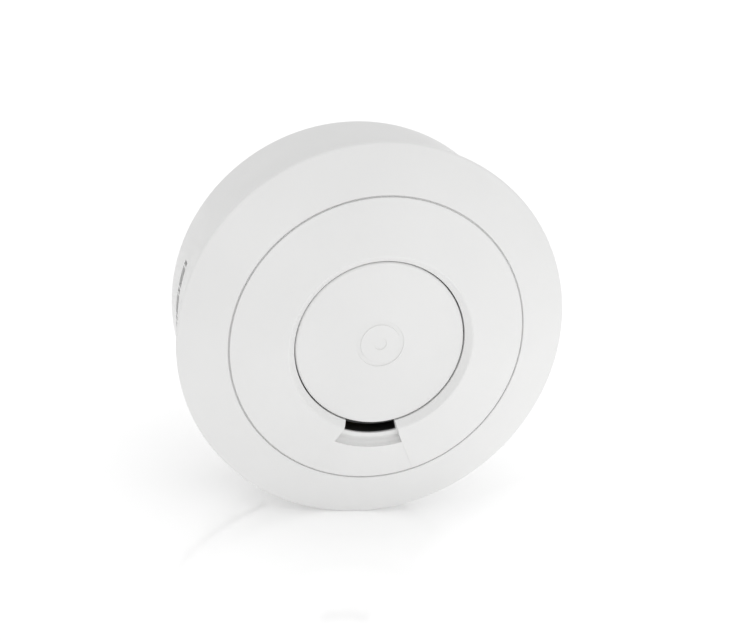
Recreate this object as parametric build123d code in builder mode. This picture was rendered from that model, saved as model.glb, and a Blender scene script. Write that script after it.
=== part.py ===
"""Optical smoke alarm for a ceiling or wall: a mounting plate, and an alarm head that twists onto it.

The frame: the plate's back face lies in the XZ plane at Y = 0, with the mounting surface behind it at +Y.
The alarm's front faces -Y, the sound slot is at the bottom (-Z), and the centre axis is the Y axis.
A "height" is a distance from the mounting surface, measured towards the front, in millimetres.
Angles are in degrees, anticlockwise from +X as seen from the front.
"""

from build123d import *
import math
import os

os.makedirs("parts", exist_ok=True)

# ---- outer shape ----
overall_radius = 57.5  # widest circle, at the lip of the front
overall_depth = 48.8  # mounting surface to the crest of the ring around the button
dome_radius = 130.0  # sphere that the whole front follows
lip_radius = 0.9  # rounding of the lip
lip_overhang = 3.2  # lip beyond the front end of the side
skirt_taper = 1.3  # side's front end beyond its rear end
flare_length = 9.7  # the side flares out over this length behind the lip
flare_angle = 34.0  # slope of the flare where it meets the lip
shell = 1.8  # wall of the front cover and the front ring
rear_edge_radius = 0.8

# ---- shut line, ring and button ----
groove_radius = 43.43  # middle of the shut line between cover and ring
groove_width = 0.45
groove_edge_radius = 0.25
seat_depth = 0.8  # depth of the shut line, down to the ledge that the ring rests on
ledge_thickness = 1.4
ledge_reach = 2.8  # how far the ledge passes under the ring
spigot_gap = 0.15  # ring's spigot inside the ledge
spigot_wall = 1.5
spigot_catch = 1.6
crest_slope = 1.95  # radial width of the sloping wall between the button's well and the crest
crest_rounding = 0.5
button_radius = 24.8
button_gap = 0.35
button_recess = 2.0  # crest to the button's face
button_travel = 1.2
button_wall = 1.6
button_edge_radius = 0.6
button_skirt_depth = 4.6
button_skirt_wall = 1.4
button_crown = 0.25  # how much the button's face rises to its centre
well_depth = 10.8  # button's face to the rear face of the well's floor
well_floor = 1.5
well_wall = 1.6
well_lip = 1.2  # how far the well's floor reaches in under the button's edge
mark_depth = 0.25  # press mark sunk into the button
mark_radius = 7.0
mark_line = 1.3
mark_edge_radius = 0.1
mark_dot = 1.9
clip_angles = (90, 210, 330)
clip_gap = 0.4
clip_wall = 1.6
clip_catch = 1.1
clip_height = 1.8
clip_arc = 15.0

# ---- sound slot and the scoop below it ----
slot_width = 3.15
slot_half_angle = 17.0
scoop_share = 0.258  # scoop's length, as a share of the ring from the slot to the shut line
scoop_half_angle = 18.4
scoop_depth = 2.6  # crest to the scoop's floor beside the slot
scoop_shelf_share = 0.308  # level part of the floor beyond the slot, as a share of the scoop's length
scoop_fall_share = 0.564  # floor's extra depth at the scoop's outer wall, as such a share
scoop_corner_share = 0.231  # rounding of the floor's corners, as such a share
pad_margin_arc = 3.0  # pad under the scoop beyond the scoop's ends
pad_join = 0.3  # how far the pad reaches into the well's wall
neck_wall = 0.7  # walls of the horn's neck behind the slot
neck_wall_arc = 2.2
neck_gap = 0.25
neck_gap_arc = 0.7
slot_lead = 0.1  # how far the neck's opening stands back from the slot's edges
slot_edge = 0.8  # thickness of the ring around the slot
fan_depth = 0.2  # shallow flat that fans out from the scoop to the shut line
fan_half_angle = 21.0
slot_angle = -90.0  # the slot is at the bottom

# ---- smoke inlets in the skirt ----
inlet_height = 17.4  # height of the row's middle
inlet_size = 3.8
inlet_long_arc = 6.4
inlet_short_arc = 1.5
inlet_rib_arc = 0.6
inlet_first_angle = 13.6  # the first inlet's angle on the right; the left side mirrors it
inlet_pairs = 9

# ---- mounting plate ----
plate_thickness = 1.8
plate_margin = 2.5  # how much smaller than the skirt the plate is
plate_rim_height = 3.0
plate_rim_width = 4.5
plate_chamfer = 0.4
pocket_depth = 0.6  # shallow pockets in the back, between ribs
pocket_hub = 10.0
pocket_margin = 2.2  # solid band around the screw slots
rib_lines = 6  # ribs run right across
rib_width = 1.6
rib_first_angle = 15.0
rim_gap = 0.6  # plate's rim to the head, along the axis
screw_spacing = 60.0
screw_slot_width = 4.5
screw_slot_length = 9.0
screw_head_height = 2.6
screw_head_gap = 1.0
hook_count = 3
hook_first_angle = -60.0
hook_inset = 13.0  # inner face of the hooks to the skirt's rear radius
hook_stem = 2.0
hook_lip = 2.5
hook_lip_height = 1.8
hook_arc = 8.0
hook_gap = 0.3  # between hook and head along the axis
hook_side_gap = 0.4
hook_end_arc = 0.8  # spare arc at each end of an opening
twist_angle = 12.0

# ---- power switch worked by the plate's peg ----
peg_radius = 1.5
peg_orbit = 16.0
peg_gap = 0.15
slider_width = 7.5
slider_thickness = 1.8
slider_gap = 0.25
power_switch_size = (10.0, 4.0, 3.6)  # along X, along Z, height
switch_lever_gap = 0.1
slider_tail = 7.0  # slider behind the peg
slider_reach = 4.0  # slider in front of the peg
rail_thickness = 1.2
rail_lip = 0.8
rail_extra = 2.0  # rails beyond the slider's rest place
lever_size = 1.5
lever_height = 1.8  # lever standing out of the switch
lever_seat = 1.6  # lever inside the switch
prong_wall = 1.5  # arm's prongs beside the lever
prong_side = 0.5
slider_fork = 6.0

# ---- rear tray ----
tray_wall = 1.8
tray_side_gap = 0.25
tray_depth = 6.6  # height of the tray's side
catch_gap = 0.15  # play at a snap catch
catch_reach = 1.2
catch_arc = 10.0
catch_count = 6
stop_height = 1.2  # stops in front of the tray
label_size = (34.0, 14.0)
label_corner = 1.5
label_thickness = 0.15
label_drop = 24.0

# ---- battery ----
battery_radius = 8.5
battery_length = 33.5
battery_edge = 0.6
battery_gap = 0.4
battery_offset = 30.0  # above the centre axis
battery_nub_radius = 3.0
battery_nub_length = 1.0
pad_size = (23.5, 8.5)
pad_thickness = 1.4  # foam between battery and board
saddle_thickness = 2.2
saddle_spacing = 22.0
saddle_grip = 0.6  # share of the battery's radius that the saddles reach up
saddle_inset = 1.0  # saddle's side to the battery's side
tab_thickness = 0.3
tab_width = 5.0

# ---- main board ----
board_thickness = 1.6
board_margin = 5.3  # board's edge to the skirt's inner face
post_count = 3
post_first_angle = -90.0
post_inset = 2.9  # posts' centres to the board's edge
post_radius = 2.6
board_screw_radius = 1.25
board_screw_gap = 0.05
board_screw_head_radius = 2.5
board_screw_head_height = 1.9
board_screw_length = 9.6  # under the head
board_screw_cross = 0.6  # width of the cross recess
pilot_depth = 9.0

# ---- optical chamber ----
chamber_offset = 12.0  # below the centre axis
chamber_radius = 22.6
chamber_floor_gap = 1.4
chamber_plate = 1.4
vane_count = 16
vane_orbit = 18.2
vane_length = 5.6
vane_thickness = 0.9
vane_angle = 50.0  # turn of a vane's inner half
vane_outer_angle = 35.0
vane_half = 0.65  # share of the vane's length that each half takes, with the bend's overlap
screen_thickness = 0.3
screen_rows = 4
screen_columns = 40
screen_open_height = 0.75  # open share of a row
screen_open_width = 0.7  # open share of a column
emitter_radius = 2.5
emitter_length = 7.0
emitter_orbit = 10.0
emitter_angle = 200.0
receiver_angle = -40.0
holder_wall = 0.9
holder_gap = 0.6
holder_length = 5.0
emitter_gap = 0.05
lead_orbit = 13.0
lead_radius = 0.25
lead_pitch = 2.54
screen_inset = 0.8

# ---- horn ----
horn_radius = 15.5
horn_offset = 24.0
horn_wall = 1.2
horn_floor = 1.0
horn_lid_thickness = 1.2
horn_top_gap = 0.6
horn_seal_thickness = 0.6
piezo_radius = 13.5
piezo_thickness = 0.3
ceramic_radius = 10.0
ceramic_thickness = 0.25
piezo_height = 2.4  # board's face to the brass disc
piezo_support = 0.8  # ledge that the brass disc rests on
clamp_gap = 0.15
contact_radius = 0.9
contact_hole_radius = 1.2
contact_inset = 1.5  # outer contact to the ledge
contact_tip_radius = 0.2

# ---- test switch and spring ----
test_switch_size = 6.2
test_switch_height = 3.4
test_switch_corner = 0.5
plunger_radius = 1.7
plunger_edge = 0.3
plunger_height = 5.0  # board's face to the top of the plunger
plunger_gap = 0.1
test_switch_floor = 0.6
post_tip_gap = 0.05
button_post_radius = 2.4
spring_radius = 5.4
spring_wire = 0.3
spring_turns = 6

# ---- other parts on the board's front ----
led_place = (11.0, 5.0)
led_size = (3.2, 1.6, 1.1)
led_gap = 0.15
pipe_radius = 2.0
pipe_foot_radius = 3.0
pipe_gap = 0.6
controller_place = (-16.0, 14.0)
controller_size = 7.0
controller_height = 1.2
controller_edge = 0.2
capacitor_places = ((-31.0, 12.0), (-33.5, 3.0))
capacitor_radius = 3.15
capacitor_height = 7.0
capacitor_edge = 0.5
inductor_place = (22.0, 17.0)
inductor_size = 6.0
inductor_height = 3.0
inductor_corner = 1.0
chip_row = 31.0
chip_pitch = 4.0
chip_columns = 7
chip_rows = 3
chip_size = (2.0, 1.2, 0.7)

# ---- heights that follow from the sizes above ----
skirt_rear = plate_rim_height + rim_gap
tray_rear = plate_thickness + screw_head_height + screw_head_gap
tray_floor = tray_rear + tray_wall
tray_front = tray_rear + tray_depth
battery_height = tray_floor + battery_gap + battery_radius
board_rear = battery_height + battery_radius + pad_thickness
board_front = board_rear + board_thickness
button_face = overall_depth - button_recess
button_underside = button_face - button_wall
well_rear = button_face - well_depth
horn_top = well_rear - horn_top_gap

# ---- outlines that follow from the sizes above ----
skirt_front_radius = overall_radius - lip_overhang
skirt_rear_radius = skirt_front_radius - skirt_taper
well_radius = button_radius + button_gap
crest_radius = well_radius + crest_slope
slot_outer_radius = well_radius + slot_width
scoop_length = scoop_share * (groove_radius - slot_outer_radius)
scoop_shelf = scoop_shelf_share * scoop_length
scoop_fall = scoop_fall_share * scoop_length
scoop_corner = scoop_corner_share * scoop_length
scoop_radius = slot_outer_radius + scoop_length
dome_centre = overall_depth - math.sqrt(dome_radius**2 - crest_radius**2)
lip_centre_radius = overall_radius - lip_radius
lip_centre_height = dome_centre + math.sqrt((dome_radius - lip_radius) ** 2 - lip_centre_radius**2)
flare_start = lip_centre_height - flare_length
ring_radius = groove_radius - groove_width / 2
cover_opening = groove_radius + groove_width / 2
plate_radius = skirt_rear_radius - plate_margin
tray_radius = skirt_rear_radius - shell - tray_side_gap
board_radius = skirt_rear_radius - shell - board_margin
hook_radius = skirt_rear_radius - hook_inset
post_orbit = board_radius - post_inset


def dome_height(radius, depth=0.0):
    """Height of the front sphere at a radius, or of the surface a depth below it."""
    return dome_centre + math.sqrt((dome_radius - depth) ** 2 - radius**2)


def dome_bearing(radius, depth=0.0):
    """Angle of the point at a radius on the dome, seen from the sphere's centre in the section."""
    return math.degrees(math.acos(radius / (dome_radius - depth)))


seat_height = dome_height(cover_opening) - seat_depth


# ---- construction planes ----
def face(height):
    """Plane parallel to the mounting surface: local x is X, local y is Z, and it faces the front."""
    return Plane(origin=(0, -height, 0), x_dir=(1, 0, 0), z_dir=(0, -1, 0))


def radial(angle):
    """Half section at an angle: local x is the radius and local y the height."""
    turn = math.radians(angle)
    outwards = (math.cos(turn), 0, math.sin(turn))
    sideways = (math.sin(turn), 0, -math.cos(turn))
    return Plane(origin=(0, 0, 0), x_dir=outwards, z_dir=sideways)


section = radial(0)
centre_axis = Axis((0, 0, 0), (0, -1, 0))


def across(x):
    """Plane square to X: local x is the height and local y is Z."""
    return Plane(origin=(x, 0, 0), x_dir=(0, -1, 0), z_dir=(-1, 0, 0))


class RingSegment(BaseSketchObject):
    """Piece of a flat ring about a middle angle; its outer arc may spread wider than its inner one."""

    def __init__(self, inner, outer, middle, half_angle, spread=0.0, mode=Mode.ADD):
        outer_half = half_angle + spread
        with BuildSketch() as segment:
            with BuildLine():
                inside = CenterArc((0, 0), inner, middle - half_angle, 2 * half_angle)
                outside = CenterArc((0, 0), outer, middle - outer_half, 2 * outer_half)
                Line(inside @ 0, outside @ 0)
                Line(inside @ 1, outside @ 1)
            make_face()
        super().__init__(obj=segment.sketch, rotation=0, align=None, mode=mode)


def rim(builder, radius, height):
    """The closed circle of a turned piece that is nearest to a radius and height."""
    circles = builder.edges().filter_by(GeomType.CIRCLE).filter_by(lambda edge: edge.is_closed)
    return circles.sort_by_distance((radius, -height, 0))[0]


def write(builder, label):
    """Label a finished piece and write its STEP file."""
    builder.part.label = label
    export_step(builder.part, f"parts/{label}.step")


# ======== mounting plate ========
hook_angles = [hook_first_angle + 360 / hook_count * i for i in range(hook_count)]
hook_lip_height_start = tray_floor + hook_gap
hook_top = hook_lip_height_start + hook_lip_height
peg_height = tray_floor + slider_gap + slider_thickness

with BuildPart() as mounting_plate:
    with BuildSketch(face(0)):
        Circle(plate_radius)
        with Locations((-screw_spacing / 2, 0), (screw_spacing / 2, 0)):
            SlotOverall(screw_slot_length, screw_slot_width, mode=Mode.SUBTRACT)
    extrude(amount=plate_thickness)
    with BuildSketch(face(0)):
        Circle(plate_radius)
        Circle(plate_radius - plate_rim_width, mode=Mode.SUBTRACT)
    extrude(amount=plate_rim_height)
    with BuildSketch(face(0)):
        for angle in hook_angles:
            RingSegment(hook_radius, hook_radius + hook_stem, angle, hook_arc / 2)
    extrude(amount=hook_top)
    with BuildSketch(face(hook_lip_height_start)):
        for angle in hook_angles:
            RingSegment(hook_radius, hook_radius + hook_stem + hook_lip, angle, hook_arc / 2)
    extrude(amount=hook_lip_height)
    with BuildSketch(face(0)):
        with Locations((0, peg_orbit)):
            Circle(peg_radius)
    extrude(amount=peg_height)
    # pockets in the back, which leave ribs, a hub and bands around the slots
    with BuildSketch(face(0)):
        Circle(plate_radius - plate_rim_width)
        Circle(pocket_hub, mode=Mode.SUBTRACT)
        with Locations((-screw_spacing / 2, 0), (screw_spacing / 2, 0)):
            SlotOverall(
                screw_slot_length + 2 * pocket_margin, screw_slot_width + 2 * pocket_margin, mode=Mode.SUBTRACT
            )
        for line in range(rib_lines):
            turn = rib_first_angle + 180 / rib_lines * line
            Rectangle(2 * plate_radius, rib_width, rotation=turn, mode=Mode.SUBTRACT)
    extrude(amount=pocket_depth, mode=Mode.SUBTRACT)
    rim_edges = mounting_plate.edges().filter_by(GeomType.CIRCLE).group_by(SortBy.RADIUS)[-1]
    chamfer(rim_edges, plate_chamfer)
write(mounting_plate, "mounting_plate")


# ======== front cover ========
ledge_bottom = seat_height - ledge_thickness
ledge_inner = cover_opening - ledge_reach
ledge_root = cover_opening + shell
corner_radius = overall_radius - 2 * shell
lip_bearing = dome_bearing(lip_centre_radius, lip_radius)
inlet_step = inlet_long_arc + inlet_short_arc + 2 * inlet_rib_arc


def skirt_inside(height):
    """Inner radius of the tapering skirt at a height."""
    share = (height - skirt_rear) / (flare_start - skirt_rear)
    return skirt_rear_radius - shell + share * (skirt_front_radius - skirt_rear_radius)


with BuildPart() as front_cover:
    with BuildSketch(section):
        with BuildLine():
            side = Line((skirt_rear_radius, skirt_rear), (skirt_front_radius, flare_start))
            lip = CenterArc(
                (lip_centre_radius, lip_centre_height), lip_radius, -flare_angle, flare_angle + lip_bearing
            )
            TangentArc(lip @ 0, side @ 1, tangent=-(lip % 0))
            dome = CenterArc(
                (0, dome_centre), dome_radius, lip_bearing, dome_bearing(cover_opening) - lip_bearing
            )
            inner_start = dome_bearing(ledge_root, shell)
            inner_dome = CenterArc(
                (0, dome_centre), dome_radius - shell, inner_start, dome_bearing(corner_radius, shell) - inner_start
            )
            Polyline(
                dome @ 1,
                (cover_opening, seat_height),
                (ledge_inner, seat_height),
                (ledge_inner, ledge_bottom),
                (ledge_root, ledge_bottom),
                inner_dome @ 0,
            )
            Polyline(
                inner_dome @ 1,
                (corner_radius, lip_centre_height - 2 * shell),
                (skirt_front_radius - shell, flare_start),
                (skirt_rear_radius - shell, skirt_rear),
                side @ 0,
            )
        make_face()
    revolve(axis=centre_axis)
    fillet(rim(front_cover, cover_opening, overall_depth), groove_edge_radius)
    fillet(rim(front_cover, skirt_rear_radius, 0), rear_edge_radius)
    # smoke inlets: alternate short and long windows down both sides
    for inlet_arc, lead in ((inlet_short_arc, 0), (inlet_long_arc, inlet_short_arc + inlet_rib_arc)):
        for pair in range(inlet_pairs):
            start = inlet_first_angle - inlet_step * pair - lead - inlet_arc
            for first in (start, 180 - start - inlet_arc):
                with BuildSketch(radial(first)):
                    with Locations((skirt_inside(inlet_height), inlet_height)):
                        Rectangle(4 * shell, inlet_size)
        revolve(axis=centre_axis, revolution_arc=inlet_arc, mode=Mode.SUBTRACT)
    # catches behind the tray's edge and stops in front of it
    catch_angles = [360 / catch_count * (i + 0.5) for i in range(catch_count)]
    catch_rear = skirt_rear + rear_edge_radius / 2
    with BuildSketch(face(catch_rear)):
        for angle in catch_angles:
            RingSegment(tray_radius - catch_reach, skirt_rear_radius - shell / 2, angle, catch_arc / 2)
    extrude(amount=tray_rear - catch_gap - catch_rear)
    with BuildSketch(face(tray_front + catch_gap)):
        for angle in catch_angles:
            RingSegment(tray_radius - catch_reach, skirt_rear_radius - shell / 2, angle, catch_arc / 2)
    extrude(amount=stop_height)
write(front_cover, "front_cover")


# ======== front ring ========
scoop_floor = overall_depth - scoop_depth
neck_inner = well_radius + neck_gap / 2
neck_outer = slot_outer_radius + slot_lead + neck_wall
neck_half_angle = slot_half_angle + neck_wall_arc
neck_recess = scoop_floor - slot_edge
neck_top = neck_recess - horn_seal_thickness
well_inner = button_radius - well_lip
pad_radius = scoop_radius + shell
pad_bottom = scoop_floor - scoop_fall - shell
spigot_radius = ledge_inner - spigot_gap
spigot_rear = ledge_bottom - spigot_catch

scoop_inner = slot_outer_radius - 2 * scoop_corner

with BuildPart() as scoop_cutter:
    with BuildSketch(face(seat_height)):
        RingSegment(
            scoop_inner, scoop_radius, slot_angle, slot_half_angle, scoop_half_angle - slot_half_angle
        )
    extrude(amount=overall_depth, both=True)
    with BuildSketch(section):
        with BuildLine():
            hollow = FilletPolyline(
                (scoop_inner, overall_depth),
                (scoop_inner, scoop_floor),
                (slot_outer_radius + scoop_shelf, scoop_floor),
                (scoop_radius, scoop_floor - scoop_fall),
                (scoop_radius, overall_depth),
                radius=(scoop_corner / 2, scoop_corner, scoop_corner),
            )
            Line(hollow @ 0, hollow @ 1)
        make_face()
    revolve(axis=centre_axis, mode=Mode.INTERSECT)

with BuildPart() as fan_cutter:
    with BuildSketch(face(seat_height)):
        RingSegment(scoop_radius, groove_radius, slot_angle, scoop_half_angle, fan_half_angle - scoop_half_angle)
    extrude(amount=overall_depth)
    with BuildSketch(section):
        with BuildLine():
            fan_start = dome_bearing(groove_radius)
            fan_sweep = dome_bearing(crest_radius) - fan_start
            low = CenterArc((0, dome_centre), dome_radius - fan_depth, fan_start, fan_sweep)
            high = CenterArc((0, dome_centre), dome_radius + shell, fan_start, fan_sweep)
            Line(low @ 0, high @ 0)
            Line(low @ 1, high @ 1)
        make_face()
    revolve(axis=centre_axis, mode=Mode.INTERSECT)

with BuildPart() as front_ring:
    with BuildSketch(section):
        with BuildLine():
            dome = CenterArc(
                (0, dome_centre),
                dome_radius,
                dome_bearing(ring_radius),
                dome_bearing(crest_radius) - dome_bearing(ring_radius),
            )
            well_outer = well_radius + well_wall
            spigot_root = spigot_radius - spigot_wall
            inner_start = dome_bearing(spigot_root, shell)
            inner_dome = CenterArc(
                (0, dome_centre), dome_radius - shell, inner_start, dome_bearing(well_outer, shell) - inner_start
            )
            Polyline(
                dome @ 0,
                (ring_radius, seat_height),
                (spigot_radius, seat_height),
                (spigot_radius, spigot_rear),
                (spigot_root, spigot_rear),
                inner_dome @ 0,
            )
            Polyline(
                inner_dome @ 1,
                (well_outer, well_rear),
                (well_inner, well_rear),
                (well_inner, well_rear + well_floor),
                (well_radius, well_rear + well_floor),
                (well_radius, button_face),
                dome @ 1,
            )
        make_face()
    revolve(axis=centre_axis)
    fillet(rim(front_ring, ring_radius, overall_depth), groove_edge_radius)
    fillet(rim(front_ring, crest_radius, overall_depth), crest_rounding)
    # snap catches on the spigot, behind the cover's ledge
    with BuildSketch(face(spigot_rear)):
        for angle in catch_angles:
            RingSegment(
                spigot_radius - spigot_wall / 2, spigot_radius + spigot_catch / 2, angle, catch_arc / 2
            )
    extrude(amount=spigot_catch - catch_gap)
    # pad under the scoop
    pad_half_angle = scoop_half_angle + pad_margin_arc
    with BuildSketch(radial(slot_angle - pad_half_angle)):
        with BuildLine():
            pad_inner = well_outer - pad_join
            pad_start = dome_bearing(pad_radius, shell / 2)
            pad_top = CenterArc(
                (0, dome_centre),
                dome_radius - shell / 2,
                pad_start,
                dome_bearing(pad_inner, shell / 2) - pad_start,
            )
            Polyline(pad_top @ 0, (pad_radius, pad_bottom), (pad_inner, pad_bottom), pad_top @ 1)
        make_face()
    revolve(axis=centre_axis, revolution_arc=2 * pad_half_angle)
    # gap in the well's wall for the horn's neck, then the sound slot above it
    with BuildSketch(face(well_rear)):
        RingSegment(well_inner - neck_gap, neck_outer + neck_gap, slot_angle, neck_half_angle + neck_gap_arc)
    extrude(amount=neck_recess - well_rear, mode=Mode.SUBTRACT)
    with BuildSketch(face(well_rear)):
        RingSegment(well_radius, slot_outer_radius, slot_angle, slot_half_angle)
    extrude(amount=overall_depth, mode=Mode.SUBTRACT)
    add(scoop_cutter.part, mode=Mode.SUBTRACT)
    add(fan_cutter.part, mode=Mode.SUBTRACT)
write(front_ring, "front_ring")


# ======== test button ========
skirt_inner = button_radius - button_skirt_wall
skirt_end = button_underside - button_skirt_depth
clip_outer = well_inner - clip_gap
plunger_top = board_front + plunger_height
crown_height = button_face + button_crown
crown_radius = (button_radius**2 + button_crown**2) / (2 * button_crown)

with BuildPart() as test_button:
    with BuildSketch(section):
        with BuildLine():
            crown = RadiusArc((0, crown_height), (button_radius, button_face), crown_radius)
            Polyline(
                crown @ 1,
                (button_radius, skirt_end),
                (skirt_inner, skirt_end),
                (skirt_inner, button_underside),
                (0, button_underside),
                crown @ 0,
            )
        make_face()
    revolve(axis=centre_axis)
    fillet(rim(test_button, button_radius, overall_depth), button_edge_radius)
    # post that presses the switch
    with BuildSketch(face(plunger_top + post_tip_gap)):
        Circle(button_post_radius)
    extrude(amount=button_underside - plunger_top)
    # clip legs through the well's floor
    with BuildSketch(face(well_rear - clip_height)):
        for angle in clip_angles:
            RingSegment(clip_outer - clip_wall, clip_outer, angle, clip_arc / 2)
    extrude(amount=button_underside - well_rear + clip_height)
    with BuildSketch(face(well_rear - clip_height)):
        for angle in clip_angles:
            RingSegment(clip_outer - clip_wall, clip_outer + clip_catch, angle, clip_arc / 2)
    extrude(amount=clip_height - catch_gap)
    # sunk press mark: a ring around a dot
    with BuildSketch(face(crown_height)):
        Circle(mark_radius)
        Circle(mark_radius - mark_line, mode=Mode.SUBTRACT)
        Circle(mark_dot)
    extrude(amount=-mark_depth, mode=Mode.SUBTRACT)
    for radius in (mark_radius, mark_radius - mark_line, mark_dot):
        fillet(rim(test_button, radius, crown_height), mark_edge_radius)
write(test_button, "test_button")


# ======== rear tray ========
def hook_in_head(angle):
    """Where a plate hook stands in the head once the head is twisted to the unlocking end."""
    return angle - twist_angle


rail_inner = slider_width / 2 + slider_gap
rail_top = tray_floor + slider_thickness + 2 * slider_gap
slider_middle = (slider_reach - slider_tail) / 2
saddle_height = battery_gap + battery_radius * saddle_grip

with BuildPart() as rear_tray:
    with BuildSketch(face(tray_rear)):
        Circle(tray_radius)
    extrude(amount=tray_wall)
    with BuildSketch(face(tray_rear)):
        Circle(tray_radius)
        Circle(tray_radius - tray_wall, mode=Mode.SUBTRACT)
    extrude(amount=tray_depth)
    # posts for the board
    with BuildSketch(face(tray_rear)):
        with PolarLocations(post_orbit, post_count, start_angle=post_first_angle):
            Circle(post_radius)
    extrude(amount=board_rear - tray_rear)
    # battery saddles
    for x in (-saddle_spacing / 2, saddle_spacing / 2):
        with BuildSketch(across(x)):
            with Locations((tray_floor, battery_offset)):
                Rectangle(saddle_height, 2 * (battery_radius - saddle_inset), align=(Align.MIN, Align.CENTER))
            with Locations((battery_height, battery_offset)):
                Circle(battery_radius + battery_gap / 2, mode=Mode.SUBTRACT)
        extrude(amount=saddle_thickness / 2, both=True)
    # rails that guide the power slider, each with a lip over it
    rail_length = slider_tail + slider_reach + rail_extra
    rail_middle = slider_middle + rail_extra / 2
    for side in (-1, 1):
        with BuildSketch(face(tray_floor)):
            with Locations((rail_middle, peg_orbit + side * (rail_inner + rail_thickness / 2))):
                Rectangle(rail_length, rail_thickness)
        extrude(amount=rail_top + rail_lip - tray_floor)
        with BuildSketch(face(rail_top)):
            with Locations((rail_middle, peg_orbit + side * rail_inner)):
                Rectangle(rail_length, 2 * rail_lip)
        extrude(amount=rail_lip)
    # openings for the hooks: wide where they enter, narrow where they lock
    with BuildSketch(face(tray_rear - tray_wall)):
        for angle in hook_angles:
            entry = hook_in_head(angle)
            entry_half = hook_arc / 2 + hook_end_arc
            inner = hook_radius - hook_side_gap
            RingSegment(inner, hook_radius + hook_stem + hook_lip + hook_side_gap, entry, entry_half)
            neck_half = (twist_angle + hook_arc) / 2 + hook_end_arc
            RingSegment(inner, hook_radius + hook_stem + hook_side_gap, (angle + entry) / 2, neck_half)
        peg_side = peg_radius + hook_side_gap
        peg_half = twist_angle / 2 + math.degrees(peg_side / peg_orbit)
        RingSegment(peg_orbit - peg_side, peg_orbit + peg_side, 90 - twist_angle / 2, peg_half)
    extrude(amount=3 * tray_wall, mode=Mode.SUBTRACT)
    # pilot holes for the board screws
    with BuildSketch(face(board_rear)):
        with PolarLocations(post_orbit, post_count, start_angle=post_first_angle):
            Circle(board_screw_radius + board_screw_gap)
    extrude(amount=-pilot_depth, mode=Mode.SUBTRACT)
write(rear_tray, "rear_tray")


# ======== rear label, left blank ========
with BuildPart() as rear_label:
    with BuildSketch(face(tray_rear - label_thickness)):
        with Locations((0, -label_drop)):
            RectangleRounded(*label_size, label_corner)
    extrude(amount=label_thickness)
write(rear_label, "rear_label")


# ======== main board and its screws ========
with BuildPart() as main_board:
    with BuildSketch(face(board_rear)):
        Circle(board_radius)
        with PolarLocations(post_orbit, post_count, start_angle=post_first_angle):
            Circle(board_screw_radius + board_screw_gap, mode=Mode.SUBTRACT)
    extrude(amount=board_thickness)
write(main_board, "main_board")

with BuildPart() as board_screws:
    with BuildSketch(face(board_front)):
        with PolarLocations(post_orbit, post_count, start_angle=post_first_angle):
            Circle(board_screw_head_radius)
    extrude(amount=board_screw_head_height)
    fillet(board_screws.faces().sort_by(Axis.Y)[:post_count].edges(), board_screw_head_height / 3)
    with BuildSketch(face(board_front)):
        with PolarLocations(post_orbit, post_count, start_angle=post_first_angle):
            Circle(board_screw_radius)
    extrude(amount=-board_screw_length)
    # cross recess
    with BuildSketch(face(board_front + board_screw_head_height)):
        with PolarLocations(post_orbit, post_count, start_angle=post_first_angle):
            Rectangle(2 * board_screw_radius, board_screw_cross)
            Rectangle(board_screw_cross, 2 * board_screw_radius)
    extrude(amount=-board_screw_head_height / 2, mode=Mode.SUBTRACT)
write(board_screws, "board_screws")


# ======== battery ========
with BuildPart() as battery_cell:
    with BuildSketch(across(battery_length / 2)):
        with Locations((battery_height, battery_offset)):
            Circle(battery_radius)
    extrude(amount=battery_length)
    fillet(battery_cell.edges().filter_by(GeomType.CIRCLE), battery_edge)
    with BuildSketch(across(battery_length / 2 + battery_nub_length)):
        with Locations((battery_height, battery_offset)):
            Circle(battery_nub_radius)
    extrude(amount=battery_nub_length)
write(battery_cell, "battery_cell")

with BuildPart() as battery_tabs:
    for x in (-battery_length / 2, battery_length / 2 + battery_nub_length + tab_thickness):
        with BuildSketch(across(x)):
            with Locations((battery_height - tab_width / 2, battery_offset)):
                Rectangle(board_rear - battery_height + tab_width / 2, tab_width, align=(Align.MIN, Align.CENTER))
        extrude(amount=tab_thickness)
write(battery_tabs, "battery_tabs")

with BuildPart() as battery_pad:
    with BuildSketch(face(battery_height + battery_radius)):
        with Locations((0, battery_offset)):
            Rectangle(*pad_size)
    extrude(amount=pad_thickness)
write(battery_pad, "battery_pad")


# ======== optical chamber ========
chamber_rear = tray_floor + chamber_floor_gap
chamber_front = board_rear - chamber_plate
optical_height = chamber_front - emitter_radius - holder_wall - holder_gap
screen_outer = chamber_radius - screen_inset
chamber_centre = (0, -chamber_offset)


def optical_axis(angle):
    """Plane square to one optical axis, at the chamber's middle: it faces outwards along the axis."""
    turn = math.radians(angle)
    outwards = (math.cos(turn), 0, math.sin(turn))
    return Plane(origin=(0, -optical_height, -chamber_offset), x_dir=(0, -1, 0), z_dir=outwards)


with BuildPart() as chamber_base:
    with BuildSketch(face(chamber_front)):
        with Locations(chamber_centre):
            Circle(chamber_radius)
    extrude(amount=chamber_plate)
    # a block around each optical element, bored along its axis
    block = 2 * (emitter_radius + holder_wall)
    for angle in (emitter_angle, receiver_angle):
        with BuildSketch(optical_axis(angle).offset(emitter_orbit - holder_length / 2)):
            with Locations((-emitter_radius - holder_wall, 0)):
                Rectangle(chamber_front - optical_height + block / 2, block, align=(Align.MIN, Align.CENTER))
        extrude(amount=holder_length)
    for angle in (emitter_angle, receiver_angle):
        with BuildSketch(optical_axis(angle).offset(emitter_orbit - holder_length)):
            Circle(emitter_radius + emitter_gap)
        extrude(amount=2 * holder_length, mode=Mode.SUBTRACT)
        with BuildSketch(optical_axis(angle).offset(lead_orbit)):
            with Locations((0, -lead_pitch / 2), (0, lead_pitch / 2)):
                Rectangle(2 * (board_rear - optical_height), 4 * lead_radius)
        extrude(amount=2 * lead_radius, both=True, mode=Mode.SUBTRACT)
write(chamber_base, "chamber_base")

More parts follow.
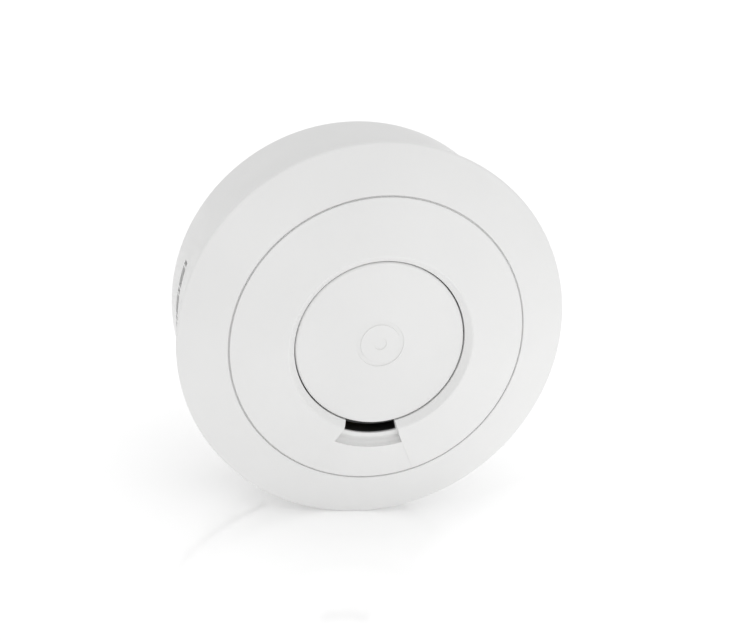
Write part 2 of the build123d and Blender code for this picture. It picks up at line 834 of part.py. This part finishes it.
for angle, name in ((emitter_angle, "infrared_emitter"), (receiver_angle, "light_receiver")):
    with BuildPart() as element:
        # a round body with a domed nose towards the middle, and two leads up to the board
        with BuildSketch(optical_axis(angle).offset(lead_orbit + lead_pitch / 2)):
            Circle(emitter_radius)
        extrude(amount=-emitter_length)
        nose = lead_orbit + lead_pitch / 2 - emitter_length
        with Locations(optical_axis(angle).offset(nose)):
            Sphere(emitter_radius)
        with BuildSketch(face(optical_height)):
            with Locations(chamber_centre):
                with PolarLocations(lead_orbit, 1, start_angle=angle):
                    with Locations((0, -lead_pitch / 2), (0, lead_pitch / 2)):
                        Circle(lead_radius)
        extrude(amount=board_rear - optical_height)
    write(element, name)

with BuildPart() as chamber_cover:
    with BuildSketch(face(chamber_rear)):
        with Locations(chamber_centre):
            Circle(chamber_radius)
    extrude(amount=chamber_plate)
    # bent vanes that let smoke in and keep light out
    with BuildSketch(face(chamber_rear)):
        with Locations(chamber_centre):
            with PolarLocations(vane_orbit + vane_length / 4, vane_count):
                Rectangle(vane_length * vane_half, vane_thickness, rotation=-vane_outer_angle)
            with PolarLocations(vane_orbit - vane_length / 4, vane_count):
                Rectangle(vane_length * vane_half, vane_thickness, rotation=vane_angle)
    extrude(amount=chamber_front - chamber_rear)
write(chamber_cover, "chamber_cover")

with BuildPart() as insect_screen:
    with BuildSketch(face(chamber_rear + chamber_plate)):
        with Locations(chamber_centre):
            Circle(screen_outer)
            Circle(screen_outer - screen_thickness, mode=Mode.SUBTRACT)
    extrude(amount=chamber_front - chamber_rear - chamber_plate)
    screen_height = chamber_front - chamber_rear - chamber_plate
    row_pitch = screen_height / screen_rows
    column_pitch = 360 / screen_columns
    screen_axis = Axis((0, 0, -chamber_offset), (0, -1, 0))
    for column in range(screen_columns):
        plane = radial(column * column_pitch)
        plane.origin = (0, 0, -chamber_offset)
        with BuildSketch(plane):
            for row in range(screen_rows):
                with Locations((screen_outer, chamber_rear + chamber_plate + row_pitch * (row + 0.5))):
                    Rectangle(4 * screen_thickness, row_pitch * screen_open_height)
    revolve(axis=screen_axis, revolution_arc=column_pitch * screen_open_width, mode=Mode.SUBTRACT)
write(insect_screen, "insect_screen")


# ======== horn ========
horn_centre = (0, -horn_offset)
cavity_radius = horn_radius - horn_wall
piezo_rear = board_front + piezo_height
piezo_front = piezo_rear + piezo_thickness
piezo_rest = piezo_radius - piezo_support
lid_rear = horn_top - horn_lid_thickness
contact_orbits = ((0, ceramic_thickness), (piezo_rest - contact_inset, 0))

with BuildPart() as horn_housing:
    with BuildSketch(face(board_front)):
        with Locations(horn_centre):
            Circle(horn_radius)
    extrude(amount=lid_rear - board_front)
    with BuildSketch(face(board_front + horn_floor)):
        with Locations(horn_centre):
            Circle(piezo_rest)
    extrude(amount=horn_top, mode=Mode.SUBTRACT)
    with BuildSketch(face(piezo_rear)):
        with Locations(horn_centre):
            Circle(cavity_radius)
    extrude(amount=horn_top, mode=Mode.SUBTRACT)
    with BuildSketch(face(board_front)):
        with Locations(*[(0, orbit - horn_offset) for orbit, drop in contact_orbits]):
            Circle(contact_hole_radius)
    extrude(amount=horn_floor, mode=Mode.SUBTRACT)
write(horn_housing, "horn_housing")

with BuildPart() as piezo_disc:
    with BuildSketch(face(piezo_rear)):
        with Locations(horn_centre):
            Circle(piezo_radius)
    extrude(amount=piezo_thickness)
write(piezo_disc, "piezo_disc")

with BuildPart() as piezo_ceramic:
    with BuildSketch(face(piezo_rear)):
        with Locations(horn_centre):
            Circle(ceramic_radius)
    extrude(amount=-ceramic_thickness)
write(piezo_ceramic, "piezo_ceramic")

with BuildPart() as piezo_contacts:
    for orbit, drop in contact_orbits:
        with BuildSketch(face(board_front)):
            with Locations((0, orbit - horn_offset)):
                Circle(contact_radius)
        extrude(amount=piezo_height - drop)
    fillet(piezo_contacts.faces().filter_by(Axis.Y).group_by(Axis.Y)[0].edges(), contact_tip_radius)
write(piezo_contacts, "piezo_contacts")

with BuildPart() as horn_lid:
    with BuildSketch(face(lid_rear)):
        with Locations(horn_centre):
            Circle(horn_radius)
    extrude(amount=horn_lid_thickness)
    # rim that clamps the disc
    with BuildSketch(face(piezo_front)):
        with Locations(horn_centre):
            Circle(cavity_radius - clamp_gap)
            Circle(piezo_rest, mode=Mode.SUBTRACT)
    extrude(amount=lid_rear - piezo_front)
    # neck that leads the sound to the slot
    with BuildSketch(face(lid_rear)):
        RingSegment(neck_inner, neck_outer, slot_angle, neck_half_angle)
    extrude(amount=neck_top - lid_rear)
    with BuildSketch(face(lid_rear)):
        RingSegment(neck_inner + neck_wall, neck_outer - neck_wall, slot_angle, slot_half_angle)
    extrude(amount=neck_top, mode=Mode.SUBTRACT)
write(horn_lid, "horn_lid")

with BuildPart() as horn_seal:
    with BuildSketch(face(neck_top)):
        RingSegment(neck_inner, neck_outer, slot_angle, neck_half_angle)
        RingSegment(
            neck_inner - neck_wall, neck_outer - neck_wall, slot_angle, slot_half_angle, mode=Mode.SUBTRACT
        )
    extrude(amount=horn_seal_thickness)
write(horn_seal, "horn_seal")


# ======== test switch, plunger and return spring ========
with BuildPart() as test_switch:
    with BuildSketch(face(board_front)):
        RectangleRounded(test_switch_size, test_switch_size, test_switch_corner)
    extrude(amount=test_switch_height)
    with BuildSketch(face(board_front + test_switch_floor)):
        Circle(plunger_radius + plunger_gap)
    extrude(amount=test_switch_height, mode=Mode.SUBTRACT)
write(test_switch, "test_switch")

with BuildPart() as switch_plunger:
    with BuildSketch(face(board_front + test_switch_floor + button_travel + plunger_gap)):
        Circle(plunger_radius)
    extrude(amount=plunger_height - test_switch_floor - button_travel - plunger_gap)
    fillet(rim(switch_plunger, plunger_radius, plunger_top), plunger_edge)
write(switch_plunger, "switch_plunger")

with BuildPart() as button_spring:
    spring_length = button_underside - board_front - 2 * spring_wire
    with BuildLine() as coil:
        Helix(
            spring_length / spring_turns,
            spring_length,
            spring_radius,
            center=(0, -board_front - spring_wire, 0),
            direction=(0, -1, 0),
        )
    with BuildSketch(Plane(origin=coil.line @ 0, z_dir=coil.line % 0)):
        Circle(spring_wire)
    sweep(path=coil.line)
write(button_spring, "button_spring")


# ======== power slider and switch ========
slider_rear = tray_floor + slider_gap
arm_length = lever_size + 2 * prong_wall
lever_x = arm_length / 2 - slider_tail
switch_rear = board_rear - power_switch_size[2]
slider_travel = peg_orbit * math.radians(twist_angle)

with BuildPart() as power_slider:
    with BuildSketch(face(slider_rear)):
        with Locations((slider_middle, peg_orbit)):
            Rectangle(slider_tail + slider_reach, slider_width)
        with Locations((0, peg_orbit)):
            SlotOverall(slider_fork, 2 * (peg_radius + peg_gap), rotation=90, mode=Mode.SUBTRACT)
    extrude(amount=slider_thickness)
    # arm up to the switch, ending in two prongs around its lever
    with BuildSketch(face(slider_rear)):
        with Locations((lever_x, peg_orbit)):
            Rectangle(arm_length, lever_size + 2 * prong_side)
    extrude(amount=switch_rear - switch_lever_gap - slider_rear)
    with BuildSketch(face(switch_rear - lever_height)):
        with Locations((lever_x, peg_orbit)):
            Rectangle(lever_size + 2 * switch_lever_gap, 2 * slider_width)
    extrude(amount=lever_height, mode=Mode.SUBTRACT)
write(power_slider, "power_slider")

with BuildPart() as power_switch:
    with BuildSketch(face(switch_rear)):
        with Locations((lever_x + slider_travel / 2, peg_orbit)):
            Rectangle(power_switch_size[0], power_switch_size[1])
    extrude(amount=power_switch_size[2])
    with BuildSketch(face(switch_rear)):
        with Locations((lever_x + slider_travel / 2, peg_orbit)):
            Rectangle(lever_size + slider_travel + 2 * switch_lever_gap, lever_size + 2 * switch_lever_gap)
    extrude(amount=lever_seat + switch_lever_gap, mode=Mode.SUBTRACT)
write(power_switch, "power_switch")

with BuildPart() as power_switch_lever:
    with BuildSketch(face(switch_rear - lever_height + switch_lever_gap)):
        with Locations((lever_x, peg_orbit)):
            Rectangle(lever_size, lever_size)
    extrude(amount=lever_height + lever_seat - switch_lever_gap)
write(power_switch_lever, "power_switch_lever")


# ======== parts on the board's front ========
with BuildPart() as status_led:
    with BuildSketch(face(board_front)):
        with Locations(led_place):
            Rectangle(*led_size[:2])
    extrude(amount=led_size[2])
write(status_led, "status_led")

with BuildPart() as light_pipe:
    pipe_end = button_underside - button_travel - pipe_gap
    with BuildSketch(face(board_front)):
        with Locations(led_place):
            Circle(pipe_foot_radius)
    extrude(amount=led_size[2] + pipe_gap)
    with BuildSketch(face(board_front)):
        with Locations(led_place):
            Circle(pipe_radius)
    extrude(amount=pipe_end - board_front)
    with BuildSketch(face(board_front)):
        with Locations(led_place):
            Rectangle(led_size[0] + 2 * led_gap, led_size[1] + 2 * led_gap)
    extrude(amount=led_size[2] + led_gap, mode=Mode.SUBTRACT)
write(light_pipe, "light_pipe")

with BuildPart() as microcontroller:
    with BuildSketch(face(board_front)):
        with Locations(controller_place):
            Rectangle(controller_size, controller_size)
    extrude(amount=controller_height)
    chamfer(microcontroller.faces().sort_by(Axis.Y)[0].edges(), controller_edge)
write(microcontroller, "microcontroller")

with BuildPart() as capacitors:
    for place in capacitor_places:
        with BuildSketch(face(board_front)):
            with Locations(place):
                Circle(capacitor_radius)
        extrude(amount=capacitor_height)
    fillet(capacitors.faces().sort_by(Axis.Y)[: len(capacitor_places)].edges(), capacitor_edge)
write(capacitors, "capacitors")

with BuildPart() as inductor:
    with BuildSketch(face(board_front)):
        with Locations(inductor_place):
            RectangleRounded(inductor_size, inductor_size, inductor_corner)
    extrude(amount=inductor_height)
write(inductor, "inductor")

with BuildPart() as small_components:
    with BuildSketch(face(board_front)):
        with Locations((0, chip_row)):
            with GridLocations(chip_pitch, chip_pitch, chip_columns, chip_rows):
                Rectangle(chip_size[0], chip_size[1])
    extrude(amount=chip_size[2])
write(small_components, "small_components")
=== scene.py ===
import math

import bpy
from mathutils import Matrix, Vector


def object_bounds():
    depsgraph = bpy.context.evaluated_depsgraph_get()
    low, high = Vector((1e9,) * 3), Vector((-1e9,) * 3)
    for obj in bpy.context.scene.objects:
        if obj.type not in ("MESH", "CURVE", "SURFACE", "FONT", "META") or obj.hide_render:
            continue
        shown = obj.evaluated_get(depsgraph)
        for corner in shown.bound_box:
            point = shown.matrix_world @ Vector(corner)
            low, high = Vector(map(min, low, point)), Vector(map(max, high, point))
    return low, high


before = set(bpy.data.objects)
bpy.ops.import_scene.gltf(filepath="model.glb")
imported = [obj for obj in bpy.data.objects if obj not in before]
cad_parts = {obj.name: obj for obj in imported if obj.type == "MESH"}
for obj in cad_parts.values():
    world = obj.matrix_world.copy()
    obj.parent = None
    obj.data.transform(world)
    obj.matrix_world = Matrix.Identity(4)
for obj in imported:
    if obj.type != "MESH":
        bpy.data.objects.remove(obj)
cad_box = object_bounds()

MM = 0.001
low, high = Vector(cad_box[0]), Vector(cad_box[1])

# ---- camera ----
CAMERA_AZIMUTH = -16.58  # degrees, to the left of the front
CAMERA_ELEVATION = 20.77
CAMERA_ROLL = 7.2  # the right-hand side is raised
CAMERA_DISTANCE = 700 * MM
CAMERA_AIM = Vector((-1.6, -36.1, 2.9)) * MM
CAMERA_LENS = 118.76
CAMERA_SENSOR = 36.0

# ---- studio ----
FLOOR_SIZE = 8.0
FLOOR_GREY = 0.95
FLOOR_TONE = 0.995  # darkest part of its slow drift of tone
FLOOR_DRIFT = 3  # features per metre of that drift
FLOOR_ROUGHNESS = (0.10, 0.13)
FLOOR_IOR = 2.6  # high, for a reflection that shows from above
FLOOR_GLOW = 0.26  # keeps the floor near white
FOOT_SHADE_GLOW = 0.15  # lower glow around the foot: painted shade there, where the reflection shows
FOOT_NEAR = 0.03  # the glow grows between these distances from the foot
FOOT_FAR = 0.09
PAINTED_POOL_GLOW = 0.55  # painted pool of light: the floor glows brighter here, in front and to the right
POOL_PLACE = (0.12, -0.12)
POOL_RADIUS = 0.12
BRIGHT_SIDE = (0.32, -0.86, -0.40)  # from where most of the light comes
DIM_SIDE = 0.76  # strength of the light from the opposite side
FULL_SIDE = 1.08  # and from the bright side

# ---- surfaces: scales are features per metre, spans are the part of a noise that is used ----
NOISE_SPAN = (0.3, 0.7)
DRIFT_SCALE = 24  # slow drift of a plastic's tone
DRIFT_SPAN = (0.35, 0.65)
RUBBED_SCALE = 90  # faint rubbed patches on plastic
RUBBED_STRETCH = (1, 1, 2.5)
RUBBED_DISTORTION = 0.6
RUBBED_SPAN = (0.4, 0.62)
RUBBED_GLOSS = 0.05  # how much smoother, and rougher, the patches get
RUBBED_MATT = 0.04
FLOW_SCALE = 60  # long waves of a moulded surface
FLOW_DEPTH = 0.01 * MM
PATCH_SCALE = 300  # dull patches on metal
PATCH_TONE = 0.86
SCRATCH_DEPTH = 0.002 * MM
SCRATCH_GLOSS = 0.08
SCRATCH_MATT = 0.1
TRACK_SCALE = 160  # rows of tracks under the solder mask
TRACK_GAP = 0.06
TRACK_HEIGHT = 0.03 * MM
MASK_DARK = (0.012, 0.11, 0.035)
MASK_LIGHT = (0.016, 0.14, 0.045)
MASK_EDGE = (0.03, 0.20, 0.07)
MASK_SCALE = 800
MASK_ROUGHNESS = (0.25, 0.38)
RESIN_SCALE = 400
RESIN_TONE = 0.93
RESIN_ROUGHER = 0.08
RESIN_CLEARNESS = 0.7
RESIN_IOR = 1.49
FOAM_CELL = 0.5 * MM
FOAM_SPAN = (0.0, 0.6)
# painted shade: tone in the hollows of the cells
FOAM_HOLLOW_SHADE = 0.6
FOAM_DEPTH = 0.08 * MM
FOAM_ROUGHNESS = (0.95, 0.85)


# ======== node helpers ========
def new_material(name):
    """Empty node material with its shader: returns the material, its nodes, its links and the shader."""
    material = bpy.data.materials.new(name)
    material.use_nodes = True
    nodes, links = material.node_tree.nodes, material.node_tree.links
    shader = nodes["Principled BSDF"]
    return material, nodes, links, shader


def noise(nodes, links, scale, detail=3.0, stretch=(1, 1, 1), distortion=0.0):
    """Noise in object space with `scale` features per metre; returns its factor socket."""
    place = nodes.new("ShaderNodeTexCoord")
    mapping = nodes.new("ShaderNodeMapping")
    mapping.inputs["Scale"].default_value = stretch
    links.new(place.outputs["Object"], mapping.inputs["Vector"])
    texture = nodes.new("ShaderNodeTexNoise")
    texture.inputs["Scale"].default_value = scale
    texture.inputs["Detail"].default_value = detail
    texture.inputs["Distortion"].default_value = distortion
    links.new(mapping.outputs["Vector"], texture.inputs["Vector"])
    return texture.outputs["Fac"]


def spread(nodes, links, factor, start, end, low_value, high_value):
    """Map the part of a factor between start and end to a range of values."""
    node = nodes.new("ShaderNodeMapRange")
    node.inputs["From Min"].default_value = start
    node.inputs["From Max"].default_value = end
    node.inputs["To Min"].default_value = low_value
    node.inputs["To Max"].default_value = high_value
    links.new(factor, node.inputs["Value"])
    return node.outputs["Result"]


def blend_colours(nodes, links, factor, first, second):
    """Mix two colours by a factor; returns the colour socket."""
    node = nodes.new("ShaderNodeMix")
    node.data_type = "RGBA"
    node.inputs["A"].default_value = (*first, 1)
    node.inputs["B"].default_value = (*second, 1)
    links.new(factor, node.inputs["Factor"])
    return node.outputs["Result"]


def bump(nodes, links, height, depth, normal=None):
    """Bump of a depth in metres; returns the normal socket."""
    node = nodes.new("ShaderNodeBump")
    node.inputs["Strength"].default_value = 1.0
    node.inputs["Distance"].default_value = depth
    links.new(height, node.inputs["Height"])
    if normal is not None:
        links.new(normal, node.inputs["Normal"])
    return node.outputs["Normal"]


def shade(colour, factor):
    """A colour made lighter or darker by a factor."""
    return tuple(channel * factor for channel in colour)


# ======== materials ========
def moulded_plastic(name, colour, roughness=0.42, grain=0.45, grain_depth=0.004, variation=0.02):
    """Injection-moulded plastic: spark-eroded grain (mm), slow drift of tone, and faint rubbed patches."""
    material, nodes, links, shader = new_material(name)
    drift = noise(nodes, links, DRIFT_SCALE, detail=2)
    tone = spread(nodes, links, drift, *DRIFT_SPAN, 0, 1)
    colours = blend_colours(nodes, links, tone, shade(colour, 1 - variation), shade(colour, 1 + variation / 2))
    links.new(colours, shader.inputs["Base Color"])
    rubbed = noise(nodes, links, RUBBED_SCALE, 4, RUBBED_STRETCH, RUBBED_DISTORTION)
    rough = spread(nodes, links, rubbed, *RUBBED_SPAN, roughness - RUBBED_GLOSS, roughness + RUBBED_MATT)
    links.new(rough, shader.inputs["Roughness"])
    fine = bump(nodes, links, noise(nodes, links, 1 / (grain * MM), detail=2), grain_depth * MM)
    flow = bump(nodes, links, noise(nodes, links, FLOW_SCALE, detail=1), FLOW_DEPTH, fine)
    links.new(flow, shader.inputs["Normal"])
    return material


def metal(name, colour, roughness=0.3, scratch=2500, stretch=(1, 1, 12)):
    """Rolled or plated metal: drawn scratches, patchy roughness and a slight change of tone."""
    material, nodes, links, shader = new_material(name)
    lines = noise(nodes, links, scratch, stretch=stretch)
    dull = spread(nodes, links, noise(nodes, links, PATCH_SCALE), *NOISE_SPAN, 0, 1)
    tone = blend_colours(nodes, links, dull, shade(colour, PATCH_TONE), colour)
    links.new(tone, shader.inputs["Base Color"])
    rough = spread(nodes, links, lines, *NOISE_SPAN, roughness - SCRATCH_GLOSS, roughness + SCRATCH_MATT)
    links.new(rough, shader.inputs["Roughness"])
    links.new(bump(nodes, links, lines, SCRATCH_DEPTH), shader.inputs["Normal"])
    shader.inputs["Metallic"].default_value = 1.0
    return material


def circuit_board(name):
    """Green solder mask over rows of tracks, with raised rows, lighter edges and a fine gloss."""
    material, nodes, links, shader = new_material(name)
    place = nodes.new("ShaderNodeTexCoord")
    brick = nodes.new("ShaderNodeTexBrick")
    brick.inputs["Scale"].default_value = TRACK_SCALE
    brick.inputs["Mortar Size"].default_value = TRACK_GAP
    brick.inputs["Color1"].default_value = (*MASK_DARK, 1)
    brick.inputs["Color2"].default_value = (*MASK_LIGHT, 1)
    brick.inputs["Mortar"].default_value = (*MASK_EDGE, 1)
    turn = nodes.new("ShaderNodeMapping")
    turn.inputs["Rotation"].default_value = (math.radians(90), 0, 0)
    links.new(place.outputs["Object"], turn.inputs["Vector"])
    links.new(turn.outputs["Vector"], brick.inputs["Vector"])
    links.new(brick.outputs["Color"], shader.inputs["Base Color"])
    links.new(bump(nodes, links, brick.outputs["Fac"], TRACK_HEIGHT), shader.inputs["Normal"])
    rough = spread(nodes, links, noise(nodes, links, MASK_SCALE), *NOISE_SPAN, *MASK_ROUGHNESS)
    links.new(rough, shader.inputs["Roughness"])
    return material


def clear_resin(name, colour, roughness=0.08):
    """Clear moulded resin: transmissive, with faint flow marks inside the gloss."""
    material, nodes, links, shader = new_material(name)
    flow = noise(nodes, links, RESIN_SCALE, detail=2)
    links.new(blend_colours(nodes, links, flow, shade(colour, RESIN_TONE), colour), shader.inputs["Base Color"])
    rough = spread(nodes, links, flow, *NOISE_SPAN, roughness, roughness + RESIN_ROUGHER)
    links.new(rough, shader.inputs["Roughness"])
    shader.inputs["Transmission Weight"].default_value = RESIN_CLEARNESS
    shader.inputs["IOR"].default_value = RESIN_IOR
    return material


def closed_foam(name, colour):
    """Closed-cell foam: matt, with small cells whose hollows are darkened as painted shade."""
    material, nodes, links, shader = new_material(name)
    place = nodes.new("ShaderNodeTexCoord")
    cells = nodes.new("ShaderNodeTexVoronoi")
    cells.inputs["Scale"].default_value = 1 / FOAM_CELL
    links.new(place.outputs["Object"], cells.inputs["Vector"])
    cell = spread(nodes, links, cells.outputs["Distance"], *FOAM_SPAN, 0, 1)
    # painted shade: darker where the bump is lowest, in the cell hollows
    links.new(blend_colours(nodes, links, cell, shade(colour, FOAM_HOLLOW_SHADE), colour), shader.inputs["Base Color"])
    links.new(bump(nodes, links, cell, FOAM_DEPTH), shader.inputs["Normal"])
    links.new(spread(nodes, links, cell, 0, 1, *FOAM_ROUGHNESS), shader.inputs["Roughness"])
    return material


WHITE = (0.805, 0.805, 0.80)
# plastics: name, colour, roughness, size and depth of the grain in mm, variation of tone
# metals: name, colour, roughness, scratches per metre, stretch of the noise that draws them
SLOT_MATERIALS = {
    "housing_white": moulded_plastic("housing plastic", WHITE),
    "ring_white": moulded_plastic("ring plastic", WHITE, roughness=0.36),
    "button_white": moulded_plastic("button plastic", WHITE, roughness=0.38, grain=0.35),
    "plate_white": moulded_plastic("plate plastic", shade(WHITE, 0.97), variation=0.03),
    "tray_white": moulded_plastic("tray plastic", shade(WHITE, 0.96), variation=0.03),
    "label_paper": moulded_plastic("label film", (0.62, 0.63, 0.63), 0.6, 0.15, 0.002, 0.04),
    "board_green": circuit_board("solder mask"),
    "screw_steel": metal("zinc plate", (0.62, 0.62, 0.60), 0.35, 1500, (1, 6, 1)),
    "battery_wrap": moulded_plastic("battery film", (0.04, 0.10, 0.26), 0.28, 1.2, 0.01, 0.06),
    "nickel": metal("nickel strip", (0.66, 0.63, 0.58), 0.28),
    "foam_grey": closed_foam("grey foam", (0.16, 0.16, 0.17)),
    "chamber_black": moulded_plastic("chamber plastic", (0.018, 0.018, 0.019), 0.6, 0.3, 0.01, 0.1),
    "screen_steel": metal("screen steel", (0.42, 0.42, 0.42), 0.35, 4000),
    "emitter_clear": clear_resin("emitter resin", (0.55, 0.60, 0.75)),
    "receiver_black": moulded_plastic("receiver resin", (0.02, 0.012, 0.03), 0.12, 0.8, 0.001, 0.1),
    "horn_black": moulded_plastic("horn plastic", (0.022, 0.022, 0.021), 0.55, 0.4, 0.006, 0.08),
    "brass": metal("rolled brass", (0.72, 0.50, 0.20), 0.25),
    "ceramic_white": moulded_plastic("silvered ceramic", (0.66, 0.65, 0.61), 0.45, 0.2, 0.006, 0.06),
    "spring_steel": metal("spring wire", (0.55, 0.55, 0.56), 0.25, 3000, (4, 1, 4)),
    "switch_black": moulded_plastic("switch plastic", (0.03, 0.03, 0.032), 0.45, 0.25, 0.006, 0.08),
    "slider_grey": moulded_plastic("acetal", (0.24, 0.24, 0.26), 0.35, 0.3, 0.004, 0.04),
    "light_pipe_clear": clear_resin("acrylic", (0.93, 0.95, 0.95), 0.04),
    "led_white": clear_resin("lamp resin", (0.92, 0.86, 0.55), 0.15),
    "chip_black": moulded_plastic("chip epoxy", (0.02, 0.02, 0.022), 0.6, 0.12, 0.008, 0.1),
    "can_aluminium": metal("drawn can", (0.78, 0.78, 0.79), 0.3, 2500, (12, 1, 12)),
    "component_tan": moulded_plastic("component ceramic", (0.34, 0.24, 0.15), 0.3, 0.2, 0.006, 0.1),
}
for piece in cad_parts.values():
    for slot in piece.material_slots:
        slot.material = SLOT_MATERIALS[slot.material.name.split(".")[0]]


# ======== camera, floor and light ========
def place_camera():
    """Camera around the object: turned from the front, raised and rolled."""
    turn, rise = math.radians(CAMERA_AZIMUTH), math.radians(CAMERA_ELEVATION)
    back = Vector((math.sin(turn) * math.cos(rise), -math.cos(turn) * math.cos(rise), math.sin(rise)))
    level = Vector((0, 0, 1)).cross(back).normalized()
    upright = back.cross(level)
    roll = math.radians(CAMERA_ROLL)
    right = level * math.cos(roll) + upright * math.sin(roll)
    up = upright * math.cos(roll) - level * math.sin(roll)
    data = bpy.data.cameras.new("camera")
    data.lens = CAMERA_LENS
    data.sensor_width = CAMERA_SENSOR
    camera = bpy.data.objects.new("camera", data)
    turned = Matrix((right, up, back)).transposed()
    camera.matrix_world = Matrix.Translation(CAMERA_AIM + back * CAMERA_DISTANCE) @ turned.to_4x4()
    bpy.context.collection.objects.link(camera)
    bpy.context.scene.camera = camera


def distance_from(nodes, links, point):
    """Distance of the shaded place from a point, in object space."""
    place = nodes.new("ShaderNodeTexCoord")
    distance = nodes.new("ShaderNodeVectorMath")
    distance.operation = "DISTANCE"
    distance.inputs[1].default_value = point
    links.new(place.outputs["Object"], distance.inputs[0])
    return distance.outputs["Value"]


def lay_floor():
    """Pale glossy floor under the lowest point, glowing a little less around the foot as painted shade, and
    more in a painted pool of light.
    """
    half = FLOOR_SIZE / 2
    mesh = bpy.data.meshes.new("floor")
    corners = [(-half, -half, low.z), (half, -half, low.z), (half, half, low.z), (-half, half, low.z)]
    mesh.from_pydata(corners, [], [(0, 1, 2, 3)])
    floor = bpy.data.objects.new("floor", mesh)
    bpy.context.collection.objects.link(floor)
    material, nodes, links, shader = new_material("floor gloss")
    grey = (FLOOR_GREY, FLOOR_GREY, FLOOR_GREY)
    soft = noise(nodes, links, FLOOR_DRIFT, detail=2)
    links.new(blend_colours(nodes, links, soft, shade(grey, FLOOR_TONE), grey), shader.inputs["Base Color"])
    links.new(spread(nodes, links, soft, *NOISE_SPAN, *FLOOR_ROUGHNESS), shader.inputs["Roughness"])
    shader.inputs["IOR"].default_value = FLOOR_IOR
    shader.inputs["Emission Color"].default_value = (1, 1, 1, 1)
    # painted pool of light: extra glow on the floor around POOL_PLACE
    from_pool = distance_from(nodes, links, (*POOL_PLACE, low.z))
    pool = spread(nodes, links, from_pool, 0, POOL_RADIUS, PAINTED_POOL_GLOW, 0)
    # painted shade: the floor glows less near the foot
    from_foot = distance_from(nodes, links, (0, (low.y + high.y) / 2, low.z))
    wide = spread(nodes, links, from_foot, FOOT_NEAR, FOOT_FAR, FOOT_SHADE_GLOW, FLOOR_GLOW)
    glow = nodes.new("ShaderNodeMath")
    glow.operation = "ADD"
    links.new(pool, glow.inputs[0])
    links.new(wide, glow.inputs[1])
    links.new(glow.outputs["Value"], shader.inputs["Emission Strength"])
    mesh.materials.append(material)


def light_world():
    """White surround, dimmer away from its bright side; the camera itself sees it plain white."""
    world = bpy.data.worlds.new("studio")
    bpy.context.scene.world = world
    world.use_nodes = True
    nodes, links = world.node_tree.nodes, world.node_tree.links
    background = nodes["Background"]
    place = nodes.new("ShaderNodeTexCoord")
    lean = nodes.new("ShaderNodeVectorMath")
    lean.operation = "DOT_PRODUCT"
    lean.inputs[1].default_value = Vector(BRIGHT_SIDE).normalized()
    links.new(place.outputs["Generated"], lean.inputs[0])
    light = spread(nodes, links, lean.outputs["Value"], -1, 1, DIM_SIDE, FULL_SIDE)
    links.new(light, background.inputs["Strength"])
    background.inputs["Color"].default_value = (1, 1, 1, 1)
    seen = nodes.new("ShaderNodeLightPath")
    plain = nodes.new("ShaderNodeBackground")
    mix = nodes.new("ShaderNodeMixShader")
    links.new(seen.outputs["Is Camera Ray"], mix.inputs["Fac"])
    links.new(background.outputs["Background"], mix.inputs[1])
    links.new(plain.outputs["Background"], mix.inputs[2])
    plain.inputs["Color"].default_value = (1, 1, 1, 1)
    plain.inputs["Strength"].default_value = 1.0
    links.new(mix.outputs["Shader"], nodes["World Output"].inputs["Surface"])


place_camera()
lay_floor()
light_world()
bpy.context.scene.view_settings.view_transform = "Standard"
